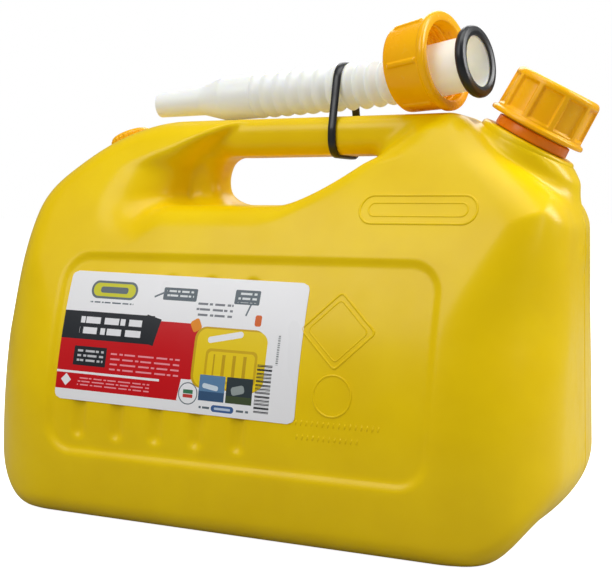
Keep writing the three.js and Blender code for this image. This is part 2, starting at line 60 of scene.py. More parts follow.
# Slope in degrees, then the x and z of a point on it
SHOULDER = {-1: (62.1, -130.0, 235.0), 1: (40.5, 136.0, 215.5)}
SHOULDER_TO_END = {-1: 32.1, 1: 8.0}
SHOULDER_TO_TOP = {-1: 56.5, 1: 5.0}
CORNER = {"low": 49.8, "middle": 16.3, "top": 10.3, "narrows": (110, 205), "tightens": (205, 234)}
FACE_EDGE = 13.3
END_EDGE = {-1: 70.0, 1: 72.5}
END_EDGE_POWER = 2.37
END_EDGE_FLATTEN = 0.6

# Panel and flutes on both faces
PANEL = {
    "left": -113.6, "right": 117.8, "bottom": 41.0, "top": 153.6,
    "radius": 16.0, "depth": 2.0, "slope": 6.0,
}
FLUTE = {
    "first": -92.8, "pitch": 25.9, "count": 5, "core": 0.6, "fade": 5.6,
    "bottom": 53.0, "top": 139.0, "depth": 1.9,
}

# Grip
FLOOR_Z = 183.6
BAR_BOTTOM = 213.3
BAR_HALF = 20.0
HOLE_LEFT = -44.7
WEB_RADIUS = 18.0
BAR_RADIUS = 9.0
HOLE_RADIUS = 5.0
FLOOR_RADIUS = 9.0
RAMP = ((12.0, FLOOR_Z), (30.0, FLOOR_Z), (63.0, 208.0))
RAMP_TOP = (116.0, 247.0)
SCOOP = {
    "fold": -62.0, "spread": 0.5, "groove": 3.0, "fold_radius": 3.0,
    "lean_from": 208.0, "lean": 1.5, "lean_round": 6.0, "groove_x": (-62, -46), "groove_z": (206, 216),
}
WEB = {"middle": 198.0, "half": 15.0, "bow": 5.0, "sharpens": (-52, -25)}
RIM = {"plain": 14.0, "ramp": 6.0, "bar": 5.0, "scoop": 10.0}

# Neck boss and breather
NECK = {"base": (147.3, 219.8), "tilt": 29.0}
BOSS = {"radius": 28.2, "top": -3.0, "foot": -36.0, "edge": 1.5, "blend": 3.5}
COLUMN = {"x": 150.0, "radius": 25.5, "top": -4.5, "foot": 150.0, "blend": 8.0}
BOSS_ROUND = 4.0
VENT = {"base": (-113.0, 224.2), "tilt": -22.0}
VENT_POCKET = {"radius": 17.2, "depth": 5.2, "edge": 1.5, "rim": 3.0}


def ramp(value, low, high):
    """A smooth step from 0 at low to 1 at high."""
    t = np.clip((value - low) / (high - low), 0, 1)
    return t * t * (3 - 2 * t)


def fillet(a, b, radius):
    """The overlap of two distance fields, with a round edge of that radius."""
    corner = np.hypot(np.maximum(a + radius, 0), np.maximum(b + radius, 0))
    return np.minimum(np.maximum(a, b), -radius) + corner


def soft_max(a, b, reach):
    """The larger of two fields, blended where they lie within reach of each other."""
    blend = np.maximum(reach - np.abs(a - b), 0) / reach
    return np.maximum(a, b) + blend * blend * reach / 4


def soft_min(a, b, reach):
    return -soft_max(-a, -b, reach)


def half_width(z):
    """From the mid-plane to the wall at one height."""
    return WALL_FOOT + WALL_SLOPE * z - WALL_BOW * z * z


def rounded_box(x, z, left, right, bottom, top, radius):
    """Distance to a rounded rectangle in the side view."""
    u = np.abs(x - (left + right) / 2) - (right - left) / 2 + radius
    v = np.abs(z - (bottom + top) / 2) - (top - bottom) / 2 + radius
    return np.minimum(np.maximum(u, v), 0) + np.hypot(np.maximum(u, 0), np.maximum(v, 0)) - radius


def face_relief(x, z):
    """How far the panel and flutes lie below the wall."""
    edge = rounded_box(x, z, *(PANEL[k] for k in ("left", "right", "bottom", "top", "radius")))
    depth = PANEL["depth"] * ramp(-edge, -PANEL["slope"] / 2, PANEL["slope"] / 2)
    for i in range(FLUTE["count"]):
        middle = FLUTE["first"] + i * FLUTE["pitch"]
        left, right = middle - FLUTE["core"], middle + FLUTE["core"]
        flute = rounded_box(x, z, left, right, FLUTE["bottom"], FLUTE["top"], FLUTE["core"])
        depth = depth + FLUTE["depth"] * (1 - ramp(flute, 0, FLUTE["fade"]))
    return depth


def side_outline(x, z, a, side):
    """Distance to one end of the hull in the side view: end wall, shoulder and top."""
    angle, at_x, at_z = SHOULDER[side]
    angle = math.radians(angle)
    end = side * x - END[side] + END_LEAN[side] * np.maximum(z, 0) + END_CROWN * a * a
    shoulder = math.sin(angle) * (side * x - side * at_x) + math.cos(angle) * (z - at_z)
    return fillet(fillet(end, shoulder, SHOULDER_TO_END[side]), z - TOP_Z, SHOULDER_TO_TOP[side])


def hull(x, y, z):
    """The can without its grip, neck and breather."""
    a = np.abs(y)
    width = half_width(z)
    slope = WALL_SLOPE - 2 * WALL_BOW * z
    relief = face_relief(x, z)
    wall = (a - width + relief) / np.sqrt(1 + slope * slope)
    outline = np.where(x < 0, side_outline(x, z, a, -1), side_outline(x, z, a, 1))
    corner = CORNER["low"] - (CORNER["low"] - CORNER["middle"]) * ramp(z, *CORNER["narrows"])
    corner = corner - (CORNER["middle"] - CORNER["top"]) * ramp(z, *CORNER["tightens"])
    body = fillet(outline, wall, corner)
    length = np.where(x < 0, END[-1], END[1])
    across = np.maximum(np.abs(x) - length + corner, 0)
    along = np.maximum(a - width + corner, 0)
    endwise = np.where(across > 1e-3, across / (np.hypot(across, along) + 1e-6), 0)
    near = ramp(np.abs(x), length - corner - 30, length - corner + 8)
    end_edge = np.where(x < 0, END_EDGE[-1], END_EDGE[1])
    edge = FACE_EDGE + (end_edge - FACE_EDGE) * endwise ** END_EDGE_POWER * near
    stretch = 1 + (END_EDGE_FLATTEN - 1) * endwise * near
    return fillet(body, -z / stretch, edge)


def arc(start, middle, end, steps):
    """Points along a quadratic Bezier curve."""
    start, middle, end = np.array(start), np.array(middle), np.array(end)
    t = np.linspace(0, 1, steps)[:, None]
    return (1 - t) ** 2 * start + 2 * t * (1 - t) * middle + t * t * end


def below_line(x, z, points):
    """Signed distance to an open line in the side view, positive below it."""
    shape = np.broadcast(x, z).shape
    best = np.full(shape, np.inf)
    sign = np.ones(shape)
    for (ax, az), (bx, bz) in zip(points[:-1], points[1:]):
        ex, ez = bx - ax, bz - az
        t = np.clip(((x - ax) * ex + (z - az) * ez) / (ex * ex + ez * ez), 0, 1)
        gap = (x - ax - t * ex) ** 2 + (z - az - t * ez) ** 2
        cross = ex * (z - az) - ez * (x - ax)
        nearer = gap < best
        best = np.where(nearer, gap, best)
        sign = np.where(nearer, np.where(cross < 0, 1, -1), sign)
    return sign * np.sqrt(best)


# The grip's floor, from beyond the breather end, up the ramp and out above the neck end
FLOOR_LINE = np.vstack([[(-400, FLOOR_Z)], arc(*RAMP, 13), [RAMP_TOP], [(330, 404)]])


def grip_void(x, y, z):
    """Negative inside the hand opening and its two finger scoops."""
    a = np.abs(y)
    floor = below_line(x, z, FLOOR_LINE)
    groove = SCOOP["groove"] * (1 - ramp(x, *SCOOP["groove_x"])) * (1 - ramp(z, *SCOOP["groove_z"]))
    plane = BAR_HALF - groove - a
    lift = np.clip((z - WEB["middle"]) / WEB["half"], -1, 1)
    lean = z - SCOOP["lean_from"]
    fold = SCOOP["fold"] + SCOOP["lean"] * (lean + np.sqrt(lean * lean + SCOOP["lean_round"] ** 2)) / 2
    wall = (fold - SCOOP["spread"] * (a - BAR_HALF) - x) / math.hypot(1, SCOOP["spread"])
    scoop = fillet(plane, wall, SCOOP["fold_radius"])
    end = HOLE_LEFT + WEB["bow"] * lift * lift - x
    hole = fillet(end, z - BAR_BOTTOM, HOLE_RADIUS)
    edge = WEB_RADIUS + (BAR_RADIUS - WEB_RADIUS) * ramp(x, *WEB["sharpens"])
    return fillet(-fillet(-scoop, -hole, edge), floor, FLOOR_RADIUS)


def grip_rim(x, z):
    """How round the mouth of the grip is: widest at the scoop's end, tighter along the ramp and the bar."""
    along_ramp = RIM["ramp"] * ramp(x, 0, 35) * (1 - ramp(z, 206, 212))
    along_bar = RIM["bar"] * ramp(z, 215, 228)
    round_scoop = RIM["scoop"] * (1 - ramp(x, -75, -55)) * (1 - ramp(z, 205, 222))
    return RIM["plain"] - along_ramp - along_bar + round_scoop


def about_axis(x, y, z, place):
    """Distance from a tilted axis in the mid-plane, and height along it."""
    tilt = math.radians(place["tilt"])
    dx, dz = x - place["base"][0], z - place["base"][1]
    along = dx * math.sin(tilt) + dz * math.cos(tilt)
    across = dx * math.cos(tilt) - dz * math.sin(tilt)
    return np.hypot(across, y), along


def can_field(x, y, z):
    """The can's outer surface as a signed distance, negative inside."""
    solid = hull(x, y, z)
    radius, height = about_axis(x, y, z, NECK)
    boss = fillet(radius - BOSS["radius"], height - BOSS["top"], BOSS["edge"])
    boss = fillet(boss, BOSS["foot"] - height, BOSS_ROUND)
    column = np.hypot(x - COLUMN["x"], y) - COLUMN["radius"]
    column = fillet(column, height - COLUMN["top"], BOSS_ROUND)
    column = fillet(column, COLUMN["foot"] - z, BOSS_ROUND)
    solid = soft_min(soft_min(solid, boss, BOSS["blend"]), column, COLUMN["blend"])
    radius, height = about_axis(x, y, z, VENT)
    pocket = fillet(radius - VENT_POCKET["radius"], -height - VENT_POCKET["depth"], VENT_POCKET["edge"])
    solid = soft_max(solid, -pocket, VENT_POCKET["rim"])
    return soft_max(solid, -grip_void(x, y, z), grip_rim(x, z))


# Surface of the field
def surface_net(values, origin, step):
    """Points and quads of the zero surface of a sampled field, one point for each cell that it crosses."""
    inside = values < 0
    count = np.zeros(np.array(values.shape) - 1, int)
    corners = [(i, j, k) for i in (0, 1) for j in (0, 1) for k in (0, 1)]
    size = count.shape
    for i, j, k in corners:
        count += inside[i:i + size[0], j:j + size[1], k:k + size[2]]
    active = (count > 0) & (count < 8)
    cells = np.argwhere(active)
    index = np.full(size, -1)
    index[active] = np.arange(len(cells))
    total = np.zeros((len(cells), 3))
    hits = np.zeros(len(cells))
    for a in corners:
        for axis in range(3):
            if a[axis]:
                continue
            # The cell edge from corner a to corner b
            b = np.array(a)
            b[axis] = 1
            low = values[tuple((cells + a).T)]
            high = values[tuple((cells + b).T)]
            crosses = (low < 0) != (high < 0)
            share = np.where(crosses, low / np.where(crosses, low - high, 1), 0)
            total += crosses[:, None] * (np.array(a) + share[:, None] * (b - a))
            hits += crosses
    points = origin + step * (cells + total / hits[:, None])
    quads = []
    for axis in range(3):
        one, two = (axis + 1) % 3, (axis + 2) % 3
        low = np.moveaxis(inside, axis, 0)[:-1]
        high = np.moveaxis(inside, axis, 0)[1:]
        for crossing, flip in ((low & ~high, False), (high & ~low, True)):
            edges = np.argwhere(np.moveaxis(crossing, 0, axis))
            ring = []
            for s, t in ((1, 1), (0, 1), (0, 0), (1, 0)):
                cell = edges.copy()
                cell[:, one] -= s
                cell[:, two] -= t
                ring.append(index[tuple(cell.T)])
            quad = np.array(ring).T
            quads.append(quad[:, ::-1] if flip else quad)
    return points, np.vstack(quads)


def field_points(points):
    return can_field(points[:, 0], points[:, 1], points[:, 2])


def field_gradient(points):
    """The field's slope, from its values a short reach to each side."""
    reach = 0.4
    slopes = []
    for axis in range(3):
        offset = np.zeros(3)
        offset[axis] = reach
        rise = field_points(points + offset) - field_points(points - offset)
        slopes.append(rise / (2 * reach))
    return np.array(slopes).T


def to_surface(points, steps=3, limit=1.5):
    """Moves points onto the can's surface along the field's slope."""
    for _ in range(steps):
        slope = field_gradient(points)
        move = field_points(points) / np.maximum((slope ** 2).sum(1), 0.05)
        points = points - np.clip(move, -limit, limit)[:, None] * slope
    return points


# Meshes
MM = 0.001


def add_mesh(name, points, faces, material, body="can", recalc=True, sharp=None):
    """A smooth mesh from points in millimetres; sharp is the angle above which an edge stays hard."""
    mesh = bpy.data.meshes.new(name)
    corners = (np.asarray(points, float) * MM).tolist()
    mesh.from_pydata(corners, [], [list(map(int, f)) for f in faces])
    mesh.validate()
    if recalc:
        work = bmesh.new()
        work.from_mesh(mesh)
        bmesh.ops.recalc_face_normals(work, faces=work.faces)
        work.to_mesh(mesh)
        work.free()
    mesh.shade_smooth()
    if sharp:
        mesh.set_sharp_from_angle(angle=math.radians(sharp))
    mesh.materials.append(material)
    obj = bpy.data.objects.new(name, mesh)
    bpy.context.collection.objects.link(obj)
    if body:
        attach(obj, body)
    return obj


def basis(axis):
    """Two directions square to axis, the second close to +Y."""
    a = np.array(axis, float)
    a = a / np.linalg.norm(a)
    v = np.array((0.0, 1.0, 0.0)) - a[1] * a
    v = v / np.linalg.norm(v)
    return np.cross(v, a), v, a


def softened(points, radius, steps=4):
    """The closed outline with each corner rounded; radius is one number or one per corner."""
    out = []
    count = len(points)
    pts = [np.array(p, float) for p in points]
    for i, p in enumerate(pts):
        r = radius[i] if isinstance(radius, list) else radius
        if r <= 0:
            out.append(p)
            continue
        before, after = pts[i - 1] - p, pts[(i + 1) % count] - p
        la, lb = np.linalg.norm(before), np.linalg.norm(after)
        cosine = np.clip(before @ after / (la * lb), -0.999, 0.999)
        half = math.acos(cosine) / 2
        reach = min(r / math.tan(half), 0.48 * la, 0.48 * lb)
        out.extend(arc(p + before / la * reach, p, p + after / lb * reach, steps + 1))
    return np.array(out)


def spokes(angle, u, v):
    """Unit vectors at those angles in the plane of u and v."""
    return np.cos(angle)[..., None] * u + np.sin(angle)[..., None] * v


def around_turn(count):
    return np.arange(count) * 2 * math.pi / count


def grid_faces(rows, columns, wrap_rows=False, wrap_columns=True):
    """Quads over a grid of points, joined at its ends where it wraps."""
    i = np.arange(rows if wrap_rows else rows - 1)[:, None]
    j = np.arange(columns if wrap_columns else columns - 1)[None, :]
    i2, j2 = (i + 1) % rows, (j + 1) % columns
    quads = [i * columns + j, i * columns + j2, i2 * columns + j2, i2 * columns + j]
    return np.stack(quads, -1).reshape(-1, 4)


def tube_faces(rows, columns):
    """Quads along a tube, with one flat face over each end."""
    faces = grid_faces(rows, columns).tolist()
    faces.append(list(range(columns))[::-1])
    faces.append([(rows - 1) * columns + j for j in range(columns)])
    return faces


def lathe(name, profile, origin, axis, material, body="can", segments=96, shape=None):
    """A closed profile of radius and height, turned. shape(angle, radius, height) may change the radius."""
    profile = np.asarray(profile, float)
    u, v, a = basis(axis)
    r = np.repeat(profile[:, :1], segments, 1)
    h = np.repeat(profile[:, 1:2], segments, 1)
    theta = np.repeat(around_turn(segments)[None, :], len(profile), 0)
    if shape:
        r = shape(theta, r, h)
    points = origin + r[..., None] * spokes(theta, u, v) + h[..., None] * a
    faces = grid_faces(len(profile), segments, wrap_rows=True)
    return add_mesh(name, points.reshape(-1, 3), faces, material, body)


def unit(vectors):
    return vectors / np.linalg.norm(vectors, axis=1)[:, None]


def run_length(path):
    """Length along the path at each of its points."""
    return np.concatenate([[0], np.cumsum(np.linalg.norm(np.diff(path, axis=0), axis=1))])


BEAD_SIDES = 10
BEAD_END = 0.35


def bead(path, radius, normal, closed=False, flat=1.0):
    """Points and faces of a rounded bead along a path; flat squashes it along the surface normal."""
    ahead = unit(np.roll(path, -1, 0) - np.roll(path, 1, 0) if closed else np.gradient(path, axis=0))
    across = unit(np.cross(ahead, normal))
    up = np.cross(across, ahead)
    size = np.ones(len(path))
    if not closed:
        size[[0, -1]] = BEAD_END
    ring = spokes(around_turn(BEAD_SIDES)[None, :], across[:, None], flat * up[:, None])
    points = path[:, None] + radius * size[:, None, None] * ring
    if closed:
        faces = grid_faces(len(path), BEAD_SIDES, wrap_rows=True).tolist()
    else:
        faces = tube_faces(len(path), BEAD_SIDES)
    return points.reshape(-1, 3), faces


def beads(name, made, material):
    """One mesh from several beads."""
    points, faces, start = [], [], 0
    for part_points, part_faces in made:
        points.append(part_points)
        faces += [[start + i for i in face] for face in part_faces]
        start += len(part_points)
    return add_mesh(name, np.vstack(points), faces, material)


THREAD_PITCH = 4.0
THREAD_SINK = 0.3
THREAD_SECTION = ((0, -1.0), (0.6, -0.75), (1.0, -0.25), (1.0, 0.25), (0.6, 0.75), (0, 1.0))


def thread_bead(name, origin, axis, radius, rise, bottom, turns, material, body="can"):
    """A helical thread ridge, sunk a little into its wall; a negative rise points it inwards."""
    u, v, a = basis(axis)
    steps = int(40 * turns)
    t = np.linspace(0, 1, steps)
    out = spokes(t * turns * 2 * math.pi, u, v)
    sink = THREAD_SINK * np.sign(rise)
    centre = origin + out * (radius - sink) + (bottom + t * turns * THREAD_PITCH)[:, None] * a
    taper = np.clip(np.minimum(t, 1 - t) * 8, 0.1, 1)[:, None]
    points = np.stack([centre + out * (r * (rise * taper + sink)) + a * h for r, h in THREAD_SECTION], 1)
    return add_mesh(name, points.reshape(-1, 3), tube_faces(steps, len(THREAD_SECTION)), material, body)


# Materials
class Shader:
    """A principled material with helpers for its node tree."""

    def __init__(self, name, color, roughness):
        self.material = bpy.data.materials.new(name)
        self.material.use_nodes = True
        self.tree = self.material.node_tree
        self.bsdf = self.tree.nodes["Principled BSDF"]
        self.bsdf.inputs["Base Color"].default_value = (*color, 1)
        self.bsdf.inputs["Roughness"].default_value = roughness
        self.position = self.tree.nodes.new("ShaderNodeTexCoord").outputs["Object"]

    def node(self, kind, **inputs):
        made = self.tree.nodes.new(kind)
        for key, value in inputs.items():
            self.feed(made, key.replace("_", " "), value)
        return made

    def feed(self, node, key, value):
        socket = node.inputs[int(key)] if key.isdigit() else node.inputs[key]
        if isinstance(value, bpy.types.NodeSocket):
            self.tree.links.new(value, socket)
        else:
            socket.default_value = value

    def operate(self, kind, operation, a, b):
        made = self.tree.nodes.new(kind)
        made.operation = operation
        self.feed(made, "0", a)
        self.feed(made, "1", b)
        return made.outputs

    def math(self, operation, a, b=0.0):
        return self.operate("ShaderNodeMath", operation, a, b)[0]

    def vector(self, operation, a, b=(0, 0, 0)):
        outputs = self.operate("ShaderNodeVectorMath", operation, a, b)
        return outputs["Value" if operation == "LENGTH" else "Vector"]

    def noise(self, scale, detail=2.0, roughness=0.5):
        made = self.node(
            "ShaderNodeTexNoise", Vector=self.position, Scale=scale, Detail=detail, Roughness=roughness)
        return made.outputs["Fac"]

    def spread(self, value, low, high, start=0.0, end=1.0):
        """The value's range from low to high, mapped to start and end."""
        made = self.node(
            "ShaderNodeMapRange", Value=value, From_Min=low, From_Max=high, To_Min=start, To_Max=end)
        return made.outputs["Result"]

    def mix(self, share, a, b):
        made = self.tree.nodes.new("ShaderNodeMix")
        made.data_type = "RGBA"
        self.feed(made, "0", share)
        # Inputs 6 and 7 and output 2 are the colour sockets
        for key, value in (("6", a), ("7", b)):
            self.feed(made, key, value if isinstance(value, bpy.types.NodeSocket) else (*value, 1))
        return made.outputs[2]

    def bump(self, *layers):
        """Each layer is (height socket, strength, distance in metres)."""
        last = None
        for height, strength, distance in layers:
            made = self.node("ShaderNodeBump", Height=height, Strength=strength, Distance=distance)
            if last:
                self.tree.links.new(last, made.inputs["Normal"])
            last = made.outputs["Normal"]
        self.tree.links.new(last, self.bsdf.inputs["Normal"])

    def set(self, **inputs):
        for key, value in inputs.items():
            self.feed(self.bsdf, key.replace("_", " "), value)
        return self.material


def plastic(name, color, shade, roughness, grain=900.0, grain_depth=0.00006, sheen=0.3, scatter=0.03,
            radius=0.002, **extra):
    """Moulded plastic: faint clouding of the colour, a fine pebble and slow waviness from shrinkage."""
    shader = Shader(name, color, roughness)
    cloud = shader.noise(22.0, 3.0)
    fine = shader.noise(260.0, 3.0)
    tone = shader.mix(shader.spread(cloud, 0.35, 0.7), color, shade)
    tone = shader.mix(shader.spread(fine, 0.55, 0.95, 0.0, 0.25), tone, shade)
    shader.bump((shader.noise(grain, 2.0), 0.35, grain_depth), (shader.noise(28.0, 1.0), 0.25, 0.0005))
    scuffs = shader.spread(shader.noise(75.0, 6.0, 0.7), 0.45, 0.75, roughness - 0.05, roughness + 0.09)
    return shader.set(
        Base_Color=tone, Roughness=scuffs, Subsurface_Weight=scatter, Subsurface_Radius=(0.8, 0.65, 0.3),
        Subsurface_Scale=radius, Specular_IOR_Level=sheen, IOR=1.5, **extra)


def linear(red, green, blue):
    """A colour given as 8-bit display values."""
    return tuple(((v / 255 + 0.055) / 1.055) ** 2.4 if v > 10 else v / 3294.6 for v in (red, green, blue))


# A little emission stands for the light that thin orange and milky plastic passes on inside.
YELLOW = plastic(
    "can_yellow_hdpe", linear(243, 207, 0), linear(236, 198, 0), 0.36, sheen=0.16,
    Coat_Weight=0.14, Coat_Roughness=0.2)
ORANGE = plastic(
    "cap_orange_pp", linear(252, 188, 0), linear(248, 174, 0), 0.27, grain_depth=0.00003,
    Emission_Color=(1.0, 0.34, 0.0, 1), Emission_Strength=0.07)
RING_ORANGE = plastic(
    "ring_red_pp", linear(250, 148, 10), linear(244, 124, 6), 0.3, grain_depth=0.00003)
RUBBER = plastic(
    "rubber_black", linear(26, 29, 33), linear(20, 22, 26), 0.36, scatter=0.0, sheen=0.5)
FOAM = plastic(
    "seal_foam", linear(225, 225, 220), linear(205, 205, 200), 0.85, grain=1500.0, grain_depth=0.0002)
MILKY = plastic(
    "spout_milky_ldpe", linear(242, 243, 236), linear(236, 236, 226), 0.34, grain_depth=0.00002,
    scatter=0.55, radius=0.006, Emission_Color=(1.0, 1.0, 0.93, 1), Emission_Strength=0.09)


def dress(obj, slot, *nodes):
    """Hides the CAD nodes that a piece stands for; obj and slot are not used."""
    if nodes:
        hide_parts(*nodes)


# Can body
STEP = 1.7
SLABS = 24


def can_shell():
    """The skin of the field, sampled on one half and mirrored in the mid-plane."""
    grid_x = np.arange(-187, 190, STEP)
    grid_y = np.arange(STEP / 2, 102, STEP)
    grid_z = np.arange(-4, 242, STEP)
    half = np.concatenate([
        can_field(x[:, None, None], grid_y[None, :, None], grid_z[None, None, :])
        for x in np.array_split(grid_x, SLABS)
    ])
    both = np.concatenate([half[:, ::-1], half], axis=1)
    points, quads = surface_net(both, np.array((grid_x[0], -grid_y[-1], grid_z[0])), STEP)
    return add_mesh("can_shell", to_surface(points), quads, YELLOW, recalc=False)


dress(can_shell(), "can_yellow", "can_body")


def on_axis(place):
    """Origin and direction of a tilted axis in the mid-plane."""
    tilt = math.radians(place["tilt"])
    base_x, base_z = place["base"]
    return np.array((base_x, 0, base_z)), np.array((math.sin(tilt), 0, math.cos(tilt)))


neck = on_axis(NECK)
vent = on_axis(VENT)
NECK_BORE, NECK_RADIUS, NECK_TOP = 16.6, 19.6, 30.4
VENT_BORE, VENT_RADIUS, VENT_TOP = 5.6, 8.6, 3.1

collar = softened([(18, -6), (28.4, -6), (28.4, 0), (18, 0)], [0.2, 0.2, 2.6, 0.2])
dress(lathe("can_collar", collar, *neck, YELLOW), "can_yellow")
neck_tube = softened(
    [(NECK_BORE, -20), (NECK_RADIUS, -20), (NECK_RADIUS, NECK_TOP), (NECK_BORE, NECK_TOP)],
    [0.1, 0.1, 0.8, 0.8])
dress(lathe("can_neck", neck_tube, *neck, YELLOW), "can_yellow")
neck_thread = thread_bead("can_neck_thread", *neck, NECK_RADIUS, 1.5, 10, 2.25, YELLOW)
dress(neck_thread, "can_yellow")
vent_tube = softened(
    [(VENT_BORE, -9), (VENT_RADIUS, -9), (VENT_RADIUS, VENT_TOP), (VENT_BORE, VENT_TOP)],
    [0.1, 0.1, 0.6, 0.6])
dress(lathe("can_vent_neck", vent_tube, *vent, YELLOW, segments=64), "can_yellow")

# Caps, ring and seals
ON_AXIS = 0.01
CAP_RIBS = 10
CAP_PHASE = math.radians(-63)
CAP_POCKET = {"depth": 1.7, "side": (1.2, 2.3), "foot": (11.4, 12.6), "head": (29.2, 30.6)}
NUT_RIBS = 6
NUT_PHASE = math.radians(32)
NUT_RIB = {"rise": 1.1, "side": (0.7, 1.9), "foot": (3.0, 4.4), "head": (21.4, 22.6)}
KNURLS = 24
KNURL = {"rise": 0.75, "foot": (-3.9, -3.2), "head": (3.9, 4.8)}


def wall_rows(low, high, steps):
    """Evenly spaced profile points, close enough to carry a relief."""
    share = np.linspace(0, 1, steps)[:, None]
    return [tuple(p) for p in np.array(low) + share * (np.array(high) - low)]


def from_rib(theta, ribs, phase, radius):
    """Distance along the wall to the nearest of the evenly spaced ribs."""
    turn = (theta - phase) * ribs / (2 * math.pi)
    return np.abs(turn - np.round(turn)) * 2 * math.pi / ribs * radius


def between(h, relief, size):
    """A relief's size between its foot and its head, fading out past both."""
    return relief[size] * ramp(h, *relief["foot"]) * (1 - ramp(h, *relief["head"]))


def cap_relief(theta, r, h):
    """Sinks the pockets between the cap's ribs."""
    gap = from_rib(theta, CAP_RIBS, CAP_PHASE, 25)
    return r - np.where(r > 23.5, ramp(gap, *CAP_POCKET["side"]) * between(h, CAP_POCKET, "depth"), 0)


cap_profile = (
    [(21.8, 7.1), (22.4, 7.1), (26.9, 7.1), (27.6, 7.3), (27.9, 7.9), (27.9, 9.0), (27.4, 9.6)]
    + [(26.2, 10.1), (25.6, 10.5)] + wall_rows((25.6, 10.9), (25.0, 30.9), 40)
    + [(24.9, 31.7), (24.6, 32.6), (24.0, 33.4), (23.1, 34.0), (22.0, 34.25), (20.6, 34.3)]
    + [(12, 34.35), (ON_AXIS, 34.4), (ON_AXIS, 32.4), (21.3, 32.4), (21.8, 31.9)])
cap = lathe("cap", cap_profile, *neck, ORANGE, "cap", 480, cap_relief)
dress(cap, "cap_orange", "cap")
ring_profile = softened([(20.0, 0.4), (21.9, 0.4), (21.6, 5.8), (20.0, 6.2)], [0.3, 0.8, 0.8, 0.3])
neck_ring = lathe("neck_ring", ring_profile, *neck, RING_ORANGE, "neck_ring")
dress(neck_ring, "ring_red", "neck_ring")
seal_profile = softened([(ON_AXIS, 30.8), (20.6, 30.8), (20.6, 32.1), (ON_AXIS, 32.1)], [0, 0.4, 0.4, 0])
cap_seal = lathe("cap_seal", seal_profile, *neck, FOAM, "cap_carrier")
dress(cap_seal, "seal_foam", "cap_seal")


def knurls(theta, r, h):
    """Raises the grip ribs round the breather cap."""
    wave = 0.5 + 0.5 * np.cos(KNURLS * theta)
    return r + np.where(r > 12.9, np.sqrt(wave) * between(h, KNURL, "rise"), 0)


vent_profile = (
    [(9.2, -4.6), (12.8, -4.6), (13.2, -4.4)] + wall_rows((13.35, -4.0), (13.0, 4.6), 14)
    + [(12.7, 5.3), (12.1, 5.8), (11.2, 6.0), (9.6, 5.95), (9.0, 5.5), (8.2, 5.35)]
    + [(ON_AXIS, 5.35), (ON_AXIS, 4.2), (8.8, 4.2), (9.2, 3.9)])
vent_cap = lathe("vent_cap", vent_profile, *vent, ORANGE, "vent_cap", 288, knurls)
dress(vent_cap, "cap_orange", "vent_cap")
disc_profile = softened([(ON_AXIS, 3.4), (8.5, 3.4), (8.5, 4.1), (ON_AXIS, 4.1)], [0, 0.2, 0.2, 0])
vent_seal = lathe("vent_seal", disc_profile, *vent, FOAM, "vent_carrier", 64)
dress(vent_seal, "seal_foam", "vent_seal")

# Spout
TIP = np.array((-91.6, 0, 247.65))
BEND = np.array((58.0, 0, 254.8))
BASE_YAW = -13.3
BASE_RISE = 7.4
BASE_LENGTH = 63.9
NUT_RISE = 6.0


def heading(yaw, rise):
    """The unit vector turned from +X by yaw and tilted up by rise, in degrees."""
    yaw, rise = math.radians(yaw), math.radians(rise)
    return np.array((math.cos(rise) * math.cos(yaw), math.cos(rise) * math.sin(yaw), math.sin(rise)))


spout_axis = (BEND - TIP) / np.linalg.norm(BEND - TIP)
base_axis = heading(BASE_YAW, BASE_RISE)
nut_axis = heading(BASE_YAW, NUT_RISE)
FLANGE = BEND + BASE_LENGTH * base_axis

nozzle = softened(
    [(6.5, 0), (7.7, 0), (8.8, 32.4), (13.4, 48.0), (13.6, 69.6), (12.5, 69.6), (12.4, 48.6), (7.7, 33.0)],
    [0.5, 0.6, 7, 5, 0.3, 0.3, 4, 6], 7)
dress(lathe("spout_nozzle", nozzle, TIP, spout_axis, MILKY, "nozzle"), "spout_milky", "spout_nozzle")
base_tube = softened(
    [(13.6, -45.2), (15.0, -45.2), (15.0, -1.6), (18.1, -0.8), (18.1, 0.8), (13.6, 0.8)],
    [0.3, 0.5, 1.5, 0.4, 0.4, 0.4])
dress(lathe("spout_base", base_tube, FLANGE, base_axis, MILKY), "spout_milky", "spout_base")

CREST = 13.9
VALLEY = 11.2
VALLEY_RISE = 1.4
PITCH = 8.6
FIRST_CREST_X = -19.5
HOSE_WALL = 1.0
HOSE_RINGS = 420
HOSE_SIDES = 72
HOSE_FROM_TIP = 68.4
HOSE_FROM_FLANGE = 45.6
HOSE_MOUTH = {"length": 1.4, "radius": 13.3}
TURN_IN = 16.0


def hose_path(samples):
    """Centres and directions along the bellows, evenly spaced, and the length so far."""
    start = TIP + HOSE_FROM_TIP * spout_axis
    bend_start = BEND - TURN_IN * spout_axis
    end = FLANGE - HOSE_FROM_FLANGE * base_axis
    line = start + np.linspace(0, 1, 400)[:-1, None] * (bend_start - start)
    path = np.vstack([line, arc(bend_start, BEND, end, 200)])
    run = run_length(path)
    at = np.linspace(0, run[-1], samples)
    centres = np.array([np.interp(at, run, path[:, i]) for i in range(3)]).T
    return centres, unit(np.gradient(centres, axis=0)), at


